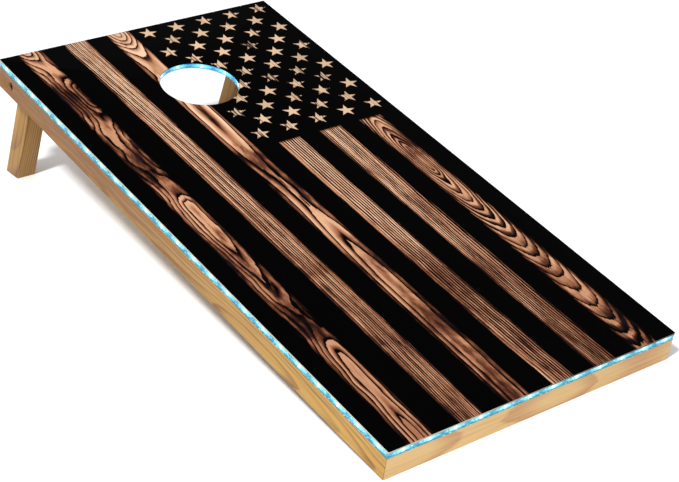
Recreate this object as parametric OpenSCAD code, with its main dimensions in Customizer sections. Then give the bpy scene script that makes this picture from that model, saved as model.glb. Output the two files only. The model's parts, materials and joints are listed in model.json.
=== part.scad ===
// Cornhole board: a flat game deck with a bag hole, propped up on two folding legs,
// with light tape let into its edge and its hole, and a battery box under its high end.
// Millimetres. +Z is up, +Y points to the high end, the origin is on the ground
// below the middle of the whole board.

/* [Board] */
// Width of the deck
board_w = 609.6; // [500:0.1:760]
// Length of the deck along its slope
board_l = 1219.2; // [1000:0.1:1500]
// Height of the deck's high edge above the ground
back_h = 271; // [230:1:330]
// Thickness of the deck panel
deck_t = 12; // [10:0.5:16]
// Radius of the four upright corners
corner_r = 2; // [1:0.25:2.5]
// Diameter of the bag hole
hole_d = 152.4; // [120:0.1:190]
// Distance from the high edge to the middle of the hole
hole_back = 228.6; // [190:0.1:280]

/* [Frame] */
// Thickness of the rails and the brace
rail_t = 19; // [15:0.5:24]
// Height of the rails
rail_h = 45; // [42:0.5:60]
// How much lower the rails reach than the blocks and the brace
block_lift = 1; // [0.5:0.5:3]
// Width of the square front corner blocks
corner_block_w = 38; // [30:1:50]
// Distance from the low edge to the middle of the cross brace
brace_y = 560; // [300:1:700]

/* [Legs] */
// Width of a leg, seen from the side
leg_w = 44; // [32:0.5:46]
// Thickness of a leg, seen from the end
leg_t = 40; // [30:0.5:46]
// Distance from the outer face of a side rail to a leg
leg_inset = 34.5; // [33:0.5:46]
// Angle of an unfolded leg from the deck's square, foot towards the high end
leg_lean = 11.3; // [6:0.1:18]
// Radius of a leg's long edges
leg_edge_r = 2; // [1:0.25:4]
// How far the pivot block reaches in front of the pivot
pivot_block_reach = 40; // [34:1:60]

/* [Pivot hardware] */
// Diameter of the pivot bolts
bolt_d = 8; // [6:1:10]
// Diameter of the bolt head
head_d = 13; // [12:0.5:16]
// Height of the bolt head
head_h = 5; // [4:0.5:8]
// How deep the bolt head is sunk below the rail's face
head_sink = 2; // [0.5:0.5:3]
// Hexagon socket of the bolt head, across its flats
socket_af = 5; // [4:0.5:6]
// Diameter of the washers
washer_d = 22; // [18:1:28]
// Thickness of the washers
washer_t = 1.6; // [1:0.1:2.5]
// Lock nut, across its flats
nut_af = 13; // [12:0.5:17]
// Height of the lock nut
nut_h = 8; // [6:0.5:10]

/* [Lights] */
// Thickness of the deck's lip above the edge light
lip_t = 3.5; // [2.5:0.25:5]
// Thickness of the deck's lip above the hole light
hole_lip_t = 1.5; // [1:0.25:3]
// Height of the light sleeve round the edge
sleeve_h = 11; // [10.6:0.1:12]
// Depth of the light sleeve
sleeve_t = 2.8; // [2.6:0.1:4]
// Wall of the light sleeve
sleeve_wall = 0.5; // [0.3:0.1:0.6]
// Height of the light tape
tape_h = 9.4; // [8:0.1:9.4]
// Thickness of the light tape
tape_t = 0.4; // [0.2:0.1:0.5]
// Width of a square light chip
chip_w = 5; // [3.5:0.5:5]
// Height of a light chip off the tape
chip_h = 1.5; // [0.8:0.1:1.5]
// Distance between light chips along the edge
chip_pitch = 50.8; // [40:0.1:60]
// Distance from the left end of the front edge to its first chip
front_first_chip = 31; // [20:1:40]
// Distance from a corner to the first chip on the other edges
first_chip = 26; // [20:1:40]
// Number of light chips round the hole
hole_chips = 10; // [6:1:14]

/* [Battery box] */
// Distance from the middle of the board to the middle of the battery box
box_side = 125; // [110:1:150]
// Distance from the back rail to the battery box
box_back = 10; // [8:1:14]
// Wall of the battery box
box_wall = 2.5; // [2.2:0.1:3]
// Width of the bay for the control board
control_w = 24; // [22:1:30]
// Diameter of a battery cell
cell_d = 14.3; // [14:0.1:14.5]
// Length of a battery cell
cell_l = 50.5; // [49:0.1:51]
// Number of battery cells side by side
cells = 4; // [2:1:5]
// Length of a contact spring as fitted
spring_l = 6; // [5:0.5:8]
// Thickness of the battery cover
cover_t = 2; // [1.8:0.1:3]
// Diameter of the power button
button_d = 10; // [8:0.5:12]
// How far the power button stands proud
button_proud = 2; // [1.5:0.1:3]
// Travel of the power button
button_travel = 1.5; // [0.5:0.1:1.5]
// Diameter of the two-core lead
lead_d = 2.4; // [2:0.1:2.6]

/* [Screws] */
// Diameter of the long wood screws
screw_d = 4; // [3.5:0.1:4.5]
// Length of the long wood screws
screw_l = 50; // [48:0.5:52]
// Length of the short wood screws through the pivot blocks
short_screw_l = 26; // [24:0.5:30]
// Length of the pocket screws in the brace's ends
pocket_screw_l = 32; // [30:0.5:35]
// Angle of the pocket screws
pocket_angle = 15; // [13:0.5:17]
// Diameter of the small box screws
small_screw_d = 3; // [2.5:0.1:3]
// Length of the small box screws
small_screw_l = 10; // [8:0.5:11]

/* [Fits] */
// Gap between pieces that move past each other
move_gap = 0.3; // [0.3:0.05:0.5]
// Gap above a folded leg
fold_gap = 0.8; // [0.6:0.1:2]
// Radial clearance of a leg on its bolt
pivot_clearance = 0.08; // [0.02:0.01:0.1]
// Clearance round pieces that stay put
seat_gap = 0.1; // [0.05:0.05:0.2]

/* [Hidden] */
$fn = 48;
over = 1;

// The board as a whole, in the deck's own frame: x across, y up the slope from the low
// edge, z square to the deck with 0 on its top face.
total_t = deck_t + rail_h;
tilt = asin(back_h / sqrt(board_l * board_l + total_t * total_t)) - atan(total_t / board_l);
hole_y = board_l - hole_back;
hole_r = hole_d / 2;
block_h = rail_h - block_lift;
inner_x = board_w / 2 - rail_t;
inner_back = board_l - rail_t;

// Legs turn about a line across the board. Unfolded, a leg's back face stops against the
// lower inner edge of the back rail.
pivot_z = -deck_t - fold_gap - leg_w / 2;
stop_z = -total_t - pivot_z;
pivot_y = inner_back - (leg_w / 2 + move_gap - stop_z * sin(leg_lean)) / cos(leg_lean);
leg_x = board_w / 2 - leg_inset - leg_t / 2;
block_t = leg_inset - rail_t - washer_t - move_gap;

// Where the foot meets the ground, for centring the whole board
leg_angle = tilt + leg_lean;
pivot_row_y = pivot_y * cos(tilt) - pivot_z * sin(tilt);
pivot_row_z = pivot_y * sin(tilt) + (pivot_z + total_t) * cos(tilt);
foot_reach = (pivot_row_z + leg_w / 2 * sin(leg_angle)) / cos(leg_angle);
foot_back = pivot_row_y + foot_reach * sin(leg_angle) + leg_w / 2 * cos(leg_angle);

// Lights
pocket_t = sleeve_t + seat_gap;
sleeve_top = -lip_t;
sleeve_low = -lip_t - sleeve_h;
sleeve_mid = (sleeve_top + sleeve_low) / 2;
hole_sleeve_h = deck_t - hole_lip_t - seat_gap;
hole_tape_h = hole_sleeve_h - 2 * sleeve_wall - 2 * seat_gap;
hole_mid = -hole_lip_t - seat_gap - hole_sleeve_h / 2;
ring_inner_r = hole_r + seat_gap;
ring_outer_r = ring_inner_r + sleeve_t;
ring_pocket_r = ring_outer_r + seat_gap;
resistor = [3.2, 0.6, 1.6];

// Screws
screw_head_d = 2 * screw_d;
deck_bite = screw_l - block_h + block_lift;
deck_screw_low = -deck_t - block_h + block_lift;
pocket_seat = 20;
pocket_d = 9.5;
pocket_head_h = 2.5;
brace_screw_x = 150;

// Battery box: its bays run along y, the cells' bay towards the middle of the board
cell_pitch = cell_d + 0.6;
contact_t = 0.4;
bay_w = cells * cell_pitch + 0.6;
bay_l = cell_l + spring_l + 2 * contact_t;
box_w = bay_w + control_w + 3 * box_wall;
box_l = bay_l + 2 * box_wall;
box_x = -box_side - box_w / 2;
box_y = inner_back - box_back - box_l;
box_top = -deck_t;
box_roof = box_top - box_wall;
cover_top = box_roof - cell_d - 0.8;
box_low = cover_top - cover_t;
bay_x = box_x + 2 * box_wall + control_w;
bay_y = box_y + box_wall;
control_x = box_x + box_wall + control_w / 2;
control_y = box_y + box_l / 2;
lead_x = control_x + 7;
tongue = 1.2;
tongue_h = 1;
ear_l = 10;
ear_h = 3;
post_y = bay_l / 2 - 5;
board_z = box_roof - 5.5;
board_t = 1.6;
button_hole_d = button_d + 2 * move_gap;
flange_h = 1;
switch_h = 3.6;
stem_top = board_z - board_t - switch_h - button_travel - move_gap;
clip_l = 8;
clip_w = 7;
lead_z = box_top - lead_d / 2 - seat_gap;
lead_exit_z = box_roof - 3;
lead_inside = 6;

// Puts what is drawn in the deck's frame where the board stands.
module on_board() {
    translate([0, -foot_back / 2, total_t * cos(tilt)]) rotate([tilt, 0, 0]) children();
}

// Puts what is drawn in the frame of one edge (x along it, y inwards from its face,
// x = 0 at its middle) on the board.
module on_edge(side) {
    if (side == "front") children();
    if (side == "back") translate([0, board_l, 0]) rotate([0, 0, 180]) children();
    if (side == "left") translate([-board_w / 2, board_l / 2, 0]) rotate([0, 0, -90]) children();
    if (side == "right") translate([board_w / 2, board_l / 2, 0]) rotate([0, 0, 90]) children();
}

function edge_length(side) = side == "front" || side == "back" ? board_w : board_l;

// The left half's piece as drawn, or its mirror image on the right.
module on_side(side) {
    if (side == "left") children();
    if (side == "right") mirror([1, 0, 0]) children();
}

// A rectangle with true round corners.
module round_rectangle(size, r) {
    square([size.x - 2 * r, size.y], center = true);
    square([size.x, size.y - 2 * r], center = true);
    for (x = [-1, 1], y = [-1, 1])
        translate([x * (size.x / 2 - r), y * (size.y / 2 - r)]) circle(r);
}

// Everything inside the board's outline, with its round corners.
module outline(low, high) {
    translate([0, board_l / 2, low])
        linear_extrude(high - low) round_rectangle([board_w, board_l], corner_r);
}

// A bar along an edge with mitred ends, from depth near to depth far.
module mitred_bar(length, near, far, low, high) {
    translate([0, 0, low]) linear_extrude(high - low)
        polygon([[-length / 2 + near, near], [length / 2 - near, near],
            [length / 2 - far, far], [-length / 2 + far, far]]);
}

// A countersunk wood screw along +z, head at z = 0, as a solid of revolution.
module countersunk_screw(d, length, grow = 0) {
    r = d / 2 + grow;
    head = d + grow;
    rotate_extrude()
        polygon([[0, -grow], [head, -grow], [head, 0.3], [r, 0.3 + head - r],
            [r, length - d], [0, length + grow]]);
}

module screw_holes(d, length) {
    countersunk_screw(d, length, seat_gap);
}

// A screw with its cross slot.
module wood_screw(d, length) {
    difference() {
        countersunk_screw(d, length);
        for (a = [0, 90]) rotate(a) cube([1.1 * d, 0.22 * d, d], center = true);
    }
}

// Places of the long screws that hold the deck down, driven up from below.
module at_deck_screws() {
    for (x = [-1, 1]) {
        translate([x * (inner_x - corner_block_w / 2), rail_t + corner_block_w / 2, deck_screw_low])
            children();
        translate([x * (inner_x - block_t / 2), pivot_y - pivot_block_reach + 6, deck_screw_low])
            children();
    }
    for (x = [-1, 0, 1]) translate([x * brace_screw_x, brace_y, deck_screw_low]) children();
}

// Places of the long screws from a left front corner block into the two rails.
module at_corner_screws() {
    x = -inner_x;
    w = corner_block_w;
    translate([x + w / 4, rail_t + w - block_lift, -deck_t - block_h / 3])
        rotate([90, 0, 0]) children();
    translate([x + w - block_lift, rail_t + w * 0.75, -deck_t - block_h * 2 / 3])
        rotate([0, -90, 0]) children();
}

// Places of the short screws from a left pivot block into its rail.
module at_pivot_block_screws() {
    x = -inner_x + block_t;
    front = pivot_y - pivot_block_reach;
    for (z = [1 / 4, 3 / 4])
        translate([x, front + 14, -deck_t - block_h * z]) rotate([0, -90, 0]) children();
    translate([x, inner_back - 7, -deck_t - block_h * 3 / 4]) rotate([0, -90, 0]) children();
}

// Places of the pocket screws at the brace's left end, with z = 0 at the head's seat.
module at_pocket_screws() {
    for (z = [1 / 3, 2 / 3])
        translate([-inner_x, brace_y, -deck_t - block_h * z])
            rotate([0, 0, -pocket_angle]) rotate([0, -90, 0])
                translate([0, 0, -pocket_seat]) children();
}

// Line of a leg's pivot, with x = 0 on the outer face of the left rail, pointing in.
module at_pivot() {
    translate([-board_w / 2, pivot_y, pivot_z]) rotate([0, 90, 0]) children();
}

// ---- Deck and frame ----

module deck_panel() {
    color("#241813") on_board() difference() {
        outline(-deck_t, 0);
        for (side = ["front", "back", "left", "right"]) on_edge(side)
            translate([-edge_length(side) / 2 - over, -over, -deck_t - over])
                cube([edge_length(side) + 2 * over, pocket_t + over, deck_t - lip_t + over]);
        translate([0, hole_y, -deck_t - over]) cylinder(r = hole_r, h = deck_t + 2 * over, $fn = 96);
        translate([0, hole_y, -deck_t - over])
            cylinder(r = ring_pocket_r, h = deck_t - hole_lip_t + over, $fn = 96);
        at_deck_screws() screw_holes(screw_d, screw_l);
        at_box_screws() screw_holes(small_screw_d, small_screw_l);
    }
}

// One rail with its light pocket, before its own holes.
module plain_rail(side) {
    intersection() {
        on_edge(side) difference() {
            mitred_bar(edge_length(side), 0, rail_t, -total_t, -deck_t);
            translate([-edge_length(side) / 2 - over, -over, sleeve_low - seat_gap])
                cube([edge_length(side) + 2 * over, pocket_t + over, rail_h]);
        }
        outline(-total_t - over, over);
    }
}

module front_rail() {
    color("#e3bd7c") on_board() difference() {
        plain_rail("front");
        for (side = ["left", "right"]) on_side(side)
            at_corner_screws() screw_holes(screw_d, screw_l);
    }
}

module back_rail() {
    color("#d6a868") on_board() difference() {
        plain_rail("back");
        translate([lead_x - lead_d, inner_back - over, -deck_t - lead_d - 3 * seat_gap])
            cube([2 * lead_d, rail_t + 2 * over, lead_d + over + 3 * seat_gap]);
    }
}

module side_rail(side) {
    on_board() on_side(side) difference() {
        plain_rail("left");
        at_pivot() {
            cylinder(d = bolt_d + 2 * seat_gap, h = rail_t + over);
            translate([0, 0, -over]) cylinder(d = head_d + 1.4, h = head_h + head_sink + over);
            translate([0, 0, -0.01])
                cylinder(d1 = head_d + 5, d2 = head_d + 1.2, h = 1.9);
        }
        at_corner_screws() screw_holes(screw_d, screw_l);
        at_pivot_block_screws() screw_holes(screw_d, short_screw_l);
        at_pocket_screws() pocket_screw_hole();
    }
}

module left_rail() {
    color("#cf9f5c") side_rail("left");
}

module right_rail() {
    color("#cf9f5c") side_rail("right");
}

module pocket_screw_hole() {
    cylinder(d = screw_d + 2 * seat_gap, h = pocket_screw_l + seat_gap);
}

module cross_brace() {
    color("#d8ae6e") on_board() difference() {
        translate([-inner_x, brace_y - rail_t / 2, -deck_t - block_h])
            cube([2 * inner_x, rail_t, block_h]);
        at_deck_screws() screw_holes(screw_d, screw_l);
        for (side = ["left", "right"]) on_side(side) at_pocket_screws() {
            pocket_screw_hole();
            translate([0, 0, -2 * pocket_seat]) cylinder(d = pocket_d, h = 2 * pocket_seat);
        }
    }
}

module corner_block(side) {
    on_board() difference() {
        on_side(side) translate([-inner_x, rail_t, -deck_t - block_h])
            cube([corner_block_w, corner_block_w, block_h]);
        at_deck_screws() screw_holes(screw_d, screw_l);
        on_side(side) at_corner_screws() screw_holes(screw_d, screw_l);
    }
}

module corner_block_left() {
    color("#dcb473") corner_block("left");
}

module corner_block_right() {
    color("#dcb473") corner_block("right");
}

module pivot_block(side) {
    length = inner_back - pivot_y + pivot_block_reach;
    on_board() difference() {
        on_side(side) translate([-inner_x, inner_back, -deck_t - block_h])
            translate([0, -length, 0]) cube([block_t, length, block_h]);
        at_deck_screws() screw_holes(screw_d, screw_l);
        on_side(side) {
            at_pivot() cylinder(d = bolt_d + 2 * seat_gap, h = leg_inset);
            at_pivot_block_screws() screw_holes(screw_d, short_screw_l);
        }
    }
}

module pivot_block_left() {
    color("#d9b070") pivot_block("left");
}

module pivot_block_right() {
    color("#d9b070") pivot_block("right");
}

// ---- Legs and their pivots ----

// A leg with its pivot at the origin and its foot straight down, longer than it needs.
module leg_blank() {
    reach = foot_reach + leg_w;
    intersection() {
        translate([0, 0, -reach]) linear_extrude(reach + leg_w)
            round_rectangle([leg_t, leg_w], leg_edge_r);
        rotate([90, 0, 90]) translate([0, 0, -leg_t]) linear_extrude(2 * leg_t) {
            circle(leg_w / 2, $fn = 96);
            translate([-leg_w / 2, -reach]) square([leg_w, reach]);
        }
    }
}

module leg(side) {
    difference() {
        on_board() on_side(side) translate([-leg_x, pivot_y, pivot_z]) rotate([leg_lean, 0, 0])
            difference() {
                leg_blank();
                rotate([0, 90, 0]) translate([0, 0, -leg_t])
                    cylinder(d = bolt_d + 2 * pivot_clearance, h = 2 * leg_t);
            }
        translate([-board_w, 0, -board_l]) cube([2 * board_w, board_l, board_l]);
    }
}

module leg_left() {
    color("#cb9a58") leg("left");
}

module leg_right() {
    color("#cb9a58") leg("right");
}

// A socket head bolt along +z with the top of its head at z = 0.
module pivot_bolt(side) {
    nut_end = leg_inset + leg_t + move_gap + washer_t + nut_h;
    end = nut_end + 2 - head_sink;
    r = bolt_d / 2;
    on_board() on_side(side) at_pivot() translate([0, 0, head_sink]) difference() {
        rotate_extrude()
            polygon([[0, 0], [head_d / 2 - 0.8, 0], [head_d / 2, 0.8], [head_d / 2, head_h],
                [r, head_h], [r, end - 1], [r - 1, end], [0, end]]);
        translate([0, 0, -over]) cylinder(d = socket_af / cos(30), h = head_h / 2 + over, $fn = 6);
    }
}

module pivot_bolt_left() {
    color("#3a3a3c") pivot_bolt("left");
}

module pivot_bolt_right() {
    color("#3a3a3c") pivot_bolt("right");
}

module washer() {
    difference() {
        cylinder(d = washer_d, h = washer_t);
        translate([0, 0, -over]) cylinder(d = bolt_d + 2 * seat_gap, h = washer_t + 2 * over);
    }
}

module pivot_washers() {
    color("#b9bcc0") on_board() for (side = ["left", "right"]) on_side(side) at_pivot()
        for (z = [leg_inset - move_gap - washer_t, leg_inset + leg_t + move_gap])
            translate([0, 0, z]) washer();
}

module lock_nuts() {
    hex_h = nut_h * 0.75;
    color("#c4c7ca") on_board() for (side = ["left", "right"]) on_side(side) at_pivot()
        translate([0, 0, leg_inset + leg_t + move_gap + washer_t]) difference() {
            union() {
                cylinder(d = nut_af / cos(30), h = hex_h, $fn = 6);
                cylinder(d = nut_af - 1.5, h = nut_h);
            }
            translate([0, 0, -over]) cylinder(d = bolt_d + 2 * seat_gap, h = nut_h + 2 * over);
        }
}

// ---- Lights ----

// The clear sleeve along one edge: a channel that opens towards the deck, shut at its ends.
module edge_sleeve(side) {
    length = edge_length(side);
    end = sleeve_t + 1;
    on_board() intersection() {
        on_edge(side) difference() {
            translate([0, seat_gap / 2, 0])
                mitred_bar(length - 2 * seat_gap, 0, sleeve_t, sleeve_low, sleeve_top);
            translate([-length / 2 + end, sleeve_wall + seat_gap / 2, sleeve_low + sleeve_wall])
                cube([length - 2 * end, sleeve_t, sleeve_h - 2 * sleeve_wall]);
        }
        outline(sleeve_low - over, over);
    }
}

module sleeve_front() {
    color("#bfefff") edge_sleeve("front");
}

module sleeve_back() {
    color("#bfefff") edge_sleeve("back");
}

module sleeve_left() {
    color("#bfefff") edge_sleeve("left");
}

module sleeve_right() {
    color("#bfefff") edge_sleeve("right");
}

// The tape lies on the back of its channel.
tape_face = seat_gap / 2 + sleeve_t - tape_t;

module edge_tape(side) {
    length = edge_length(side) - 2 * sleeve_t - 3;
    on_board() on_edge(side) translate([-length / 2, tape_face, sleeve_mid - tape_h / 2])
        cube([length, tape_t, tape_h]);
}

module tape_front() {
    color("white") edge_tape("front");
}

module tape_back() {
    color("white") edge_tape("back");
}

module tape_left() {
    color("white") edge_tape("left");
}

module tape_right() {
    color("white") edge_tape("right");
}

// Distances of an edge's chips from its middle. The left edge is laid out from its low end.
function first_chip_of(side) = side == "front" ? front_first_chip : first_chip;
function chip_count(side) =
    floor((edge_length(side) - first_chip_of(side) - first_chip / 2) / chip_pitch) + 1;
function chip_places(side) = [
    for (i = [0 : chip_count(side) - 1])
        (side == "left" ? -1 : 1) * (first_chip_of(side) + i * chip_pitch - edge_length(side) / 2)
];

module edge_chips() {
    color("#e8fbff") on_board() for (side = ["front", "back", "left", "right"]) on_edge(side)
        for (x = chip_places(side))
            translate([x - chip_w / 2, tape_face - chip_h, sleeve_mid - chip_w / 2])
                cube([chip_w, chip_h, chip_w]);
}

module edge_resistors() {
    color("#f2f2ee") on_board() for (side = ["front", "back", "left", "right"]) on_edge(side)
        for (x = chip_places(side), dx = [-1, 1])
            if (abs(x + dx * chip_pitch / 4) < edge_length(side) / 2 - 3 * sleeve_t)
                translate([x + dx * chip_pitch / 4 - resistor.x / 2, tape_face - resistor.y,
                    sleeve_mid - resistor.z / 2]) cube(resistor);
}

module ring(inner, outer, low, high) {
    translate([0, hole_y, low]) rotate_extrude($fn = 96)
        translate([inner, 0]) square([outer - inner, high - low]);
}

module hole_sleeve() {
    half = hole_sleeve_h / 2;
    color("#bfefff") on_board() difference() {
        ring(ring_inner_r, ring_outer_r, hole_mid - half, hole_mid + half);
        ring(ring_inner_r + sleeve_wall, ring_outer_r + over,
            hole_mid - half + sleeve_wall, hole_mid + half - sleeve_wall);
    }
}

module hole_tape() {
    color("white") on_board() ring(ring_outer_r - tape_t, ring_outer_r,
        hole_mid - hole_tape_h / 2, hole_mid + hole_tape_h / 2);
}

module hole_chips_ring() {
    // A flat chip's outer corners stay this far inside the round tape.
    face_r = sqrt(pow(ring_outer_r - tape_t, 2) - pow(chip_w / 2, 2)) - 0.02;
    color("#e8fbff") on_board() for (i = [0 : hole_chips - 1])
        translate([0, hole_y, hole_mid - chip_w / 2]) rotate((i + 0.5) * 360 / hole_chips)
            translate([face_r - chip_h, -chip_w / 2, 0]) cube([chip_h, chip_w, chip_w]);
}

// ---- Battery box ----

// Places of the screws through the box's two ears, driven up into the deck.
module at_box_screws() {
    for (x = [box_x - ear_l / 2, box_x + box_w + ear_l / 2])
        translate([x, control_y, box_top - ear_h]) children();
}

// Places of the two posts that carry the control board and its plate.
module at_posts() {
    for (y = [-post_y, post_y]) translate([control_x, control_y + y, 0]) children();
}

module battery_box() {
    groove = tongue + move_gap;
    groove_low = cover_top - tongue_h - move_gap;
    groove_high = cover_top + move_gap;
    color("#26272a") on_board() difference() {
        union() {
            difference() {
                translate([box_x, box_y, box_low]) cube([box_w, box_l, box_top - box_low]);
                translate([box_x + box_wall, bay_y, box_low - over])
                    cube([control_w, bay_l, box_roof - box_low + over]);
                translate([bay_x, bay_y, box_low - over])
                    cube([bay_w, bay_l, box_roof - box_low + over]);
                translate([bay_x, bay_y - groove, groove_low])
                    cube([bay_w + box_wall + over, bay_l + 2 * groove, groove_high - groove_low]);
                translate([bay_x + bay_w - over, bay_y, box_low - over])
                    cube([box_wall + 2 * over, bay_l, groove_high - box_low + over]);
            }
            for (x = [box_x - ear_l, box_x + box_w])
                translate([x, control_y - ear_l / 2, box_top - ear_h]) cube([ear_l, ear_l, ear_h]);
            at_posts() {
                translate([0, 0, board_z]) cylinder(d = 7, h = box_roof - board_z);
                translate([0, 0, cover_top + seat_gap])
                    cylinder(d = 5, h = box_roof - cover_top - seat_gap);
            }
        }
        at_box_screws() screw_holes(small_screw_d, small_screw_l);
        at_plate_screws() screw_holes(small_screw_d, small_screw_l);
        for (y = [box_y - over, box_y + box_l - box_wall - over])
            translate([lead_x, y, lead_exit_z]) rotate([-90, 0, 0])
                cylinder(d = lead_d + 2 * seat_gap, h = box_wall + 2 * over);
    }
}

// The sliding cover: a plate with a tongue down each side and thumb ridges on its face.
module battery_cover() {
    x0 = bay_x + move_gap;
    x1 = box_x + box_w;
    y0 = bay_y + move_gap;
    width = bay_l - 2 * move_gap;
    color("#2c2d31") on_board() difference() {
        union() {
            translate([x0, y0, box_low]) cube([x1 - x0, width, cover_t]);
            translate([x0, y0 - tongue, cover_top - tongue_h])
                cube([x1 - x0, width + 2 * tongue, tongue_h]);
        }
        for (i = [0 : 4]) translate([x1 - 16 + 2.4 * i, control_y - 9, box_low - over])
            cube([1.1, 18, over + 0.5]);
    }
}

// Places of the screws that hold the control plate to the posts.
module at_plate_screws() {
    at_posts() translate([0, 0, box_low]) children();
}

module control_plate() {
    color("#2c2d31") on_board() difference() {
        translate([box_x + box_wall + seat_gap, bay_y + seat_gap, box_low])
            cube([control_w - 2 * seat_gap, bay_l - 2 * seat_gap, cover_t]);
        translate([control_x, control_y, box_low - over])
            cylinder(d = button_hole_d, h = cover_t + 2 * over);
        at_plate_screws() screw_holes(small_screw_d, small_screw_l);
    }
}

// One cell with its nub towards +y and its flat end at y = 0.
module cell() {
    r = cell_d / 2;
    rotate([-90, 0, 0]) rotate_extrude()
        polygon([[0, 0], [r - 0.6, 0], [r, 0.6], [r, cell_l - 1.8], [r - 0.6, cell_l - 1.2],
            [2.6, cell_l - 1.2], [2.6, cell_l - 0.3], [2.3, cell_l], [0, cell_l]]);
}

// Puts the i-th cell's piece in its row. Every other cell is turned round.
module at_cell(i) {
    turned = i % 2 == 1;
    translate([bay_x + 0.3 + cell_pitch * (i + 0.5), bay_y + (turned ? bay_l : 0),
        cover_top + 0.4 + cell_d / 2]) rotate(turned ? 180 : 0) children();
}

module battery_cells() {
    color("#b8872c") on_board() for (i = [0 : cells - 1]) at_cell(i)
        translate([0, contact_t + spring_l, 0]) cell();
}

// A closed tube of the given sides swept along points.
module sweep(points, d, sides) {
    n = len(points);
    function unit(v) = v / norm(v);
    function heading(i) = unit(points[min(i + 1, n - 1)] - points[max(i - 1, 0)]);
    function across(h) = unit(cross(h, abs(h.z) > 0.9 ? [1, 0, 0] : [0, 0, 1]));
    // Each ring's own axis is the last ring's, turned only as far as the path turns.
    function carried(i) = i == 0 ? across(heading(0))
        : let (u = carried(i - 1), h = heading(i)) unit(u - (u * h) * h);
    rings = [for (i = [0 : n - 1]) let (h = heading(i), u = carried(i), v = cross(h, u))
        for (k = [0 : sides - 1]) let (a = 360 * (k + 0.5) / sides)
            points[i] + d / 2 * (cos(a) * u + sin(a) * v)];
    polyhedron(rings, concat(
        [[for (k = [0 : sides - 1]) k]],
        [for (i = [0 : n - 2], k = [0 : sides - 1], low = [true, false])
            let (m = (k + 1) % sides, a = i * sides + k, b = (i + 1) * sides + m)
            low ? [a, (i + 1) * sides + k, b] : [a, b, i * sides + m]],
        [[for (k = [sides - 1 : -1 : 0]) (n - 1) * sides + k]]));
}

// A conical wire spring from its plate to the cell's flat end, with y along the cell.
module contact_spring() {
    wire = 0.7;
    turns = 3;
    steps = 12;
    rise = spring_l - wire - 0.04;
    sweep([for (i = [0 : turns * steps]) let (s = i / (turns * steps), r = 4.4 - 1.8 * s)
        [r * cos(360 * i / steps), wire / 2 + 0.02 + rise * s, r * sin(360 * i / steps)]], wire, 6);
}

module contact_springs() {
    color("#cfd2d4") on_board() for (i = [0 : cells - 1]) at_cell(i)
        translate([0, contact_t, 0]) contact_spring();
}

// Each cell has one plate behind its spring and one behind its nub.
module contact_plates() {
    w = cell_pitch - 2.6;
    color("#c9ccce") on_board() for (i = [0 : cells - 1]) at_cell(i)
        for (y = [0, bay_l - contact_t]) translate([-w / 2, y, -5]) cube([w, contact_t, 10]);
}

module control_board() {
    length = bay_l - 2 * seat_gap - 1;
    width = control_w - 4;
    color("#1f6b45") on_board() difference() {
        union() {
            translate([control_x - width / 2, control_y - length / 2, board_z - board_t])
                cube([width, length, board_t]);
            translate([control_x - 3, control_y + 8, board_z - board_t - 1.4]) cube([6, 5, 1.5]);
            translate([control_x - 4, control_y - 14, board_z - board_t - 3]) cube([8, 4, 3.1]);
        }
        at_posts() translate([0, 0, board_z - board_t - over])
            cylinder(d = 5 + 2 * seat_gap, h = board_t + 2 * over);
    }
}

module tact_switch() {
    color("#1c1c1e") on_board() {
        translate([control_x - 3, control_y - 3, board_z - board_t - switch_h + 1])
            cube([6, 6, switch_h - 1]);
        translate([control_x, control_y, board_z - board_t - switch_h]) cylinder(d = 3.4, h = 1.5);
    }
}

// A cap through the plate, a flange that keeps it in, and a stem up to the switch.
module power_button() {
    low = box_low - button_proud;
    flange = cover_top + move_gap;
    r = button_d / 2;
    color("#c9ced3") on_board() translate([control_x, control_y, 0]) rotate_extrude()
        polygon([[0, low + 0.3], [r - 2, low], [r - 0.8, low], [r, low + 0.8], [r, flange],
            [r + 1.5, flange], [r + 1.5, flange + flange_h], [2, flange + flange_h],
            [2, stem_top], [0, stem_top]]);
}

// Points of a straight lead with eased bends: down or up between two levels.
function lead_bend(a, b, steps) = [
    for (i = [0 : steps]) let (s = i / steps, e = (1 - cos(180 * s)) / 2)
        [a.x + (b.x - a.x) * s, a.y + (b.y - a.y) * s, a.z + (b.z - a.z) * e]
];

// From the control bay, through the box's wall and the notch in the back rail, to the tape.
module edge_lead() {
    wall = box_y + box_l;
    from = [lead_x, wall + 1, lead_exit_z];
    to = [lead_x, inner_back - 1, lead_z];
    start = [lead_x, wall - box_wall - lead_inside, lead_exit_z];
    end = [lead_x, board_l - sleeve_t - seat_gap, lead_z];
    color("#e6e8ea") on_board() sweep(concat([start], lead_bend(from, to, 8), [end]), lead_d, 8);
}

// The hole's lead runs straight under the deck and turns up against the ring of tape.
lead_start = [lead_x, box_y + box_wall + lead_inside, lead_exit_z];
lead_drop = [lead_x, box_y - 1, lead_exit_z];
lead_up = [lead_x, box_y - 13, lead_z];
lead_turn = [lead_x, lead_up.y - 18, lead_z];
lead_aim = [0, hole_y] - [lead_turn.x, lead_turn.y];
ring_dir = lead_aim / norm(lead_aim);
lead_end_xy = [0, hole_y] - (ring_outer_r - tape_t / 2) * ring_dir;
lead_end = [lead_end_xy.x, lead_end_xy.y, lead_z];

// A quarter-like bend between the straight under the box and the straight to the ring.
function lead_curve(corner, from, to, reach, steps) = let (
    a = corner + reach * (from - corner) / norm(from - corner),
    b = corner + reach * (to - corner) / norm(to - corner)
) [for (i = [0 : steps]) let (s = i / steps)
    (1 - s) * (1 - s) * a + 2 * s * (1 - s) * corner + s * s * b];

module hole_lead() {
    color("#e6e8ea") on_board() sweep(concat([lead_start], lead_bend(lead_drop, lead_up, 6),
        lead_curve(lead_turn, lead_up, lead_end, 10, 6), [lead_end]), lead_d, 8);
}

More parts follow.
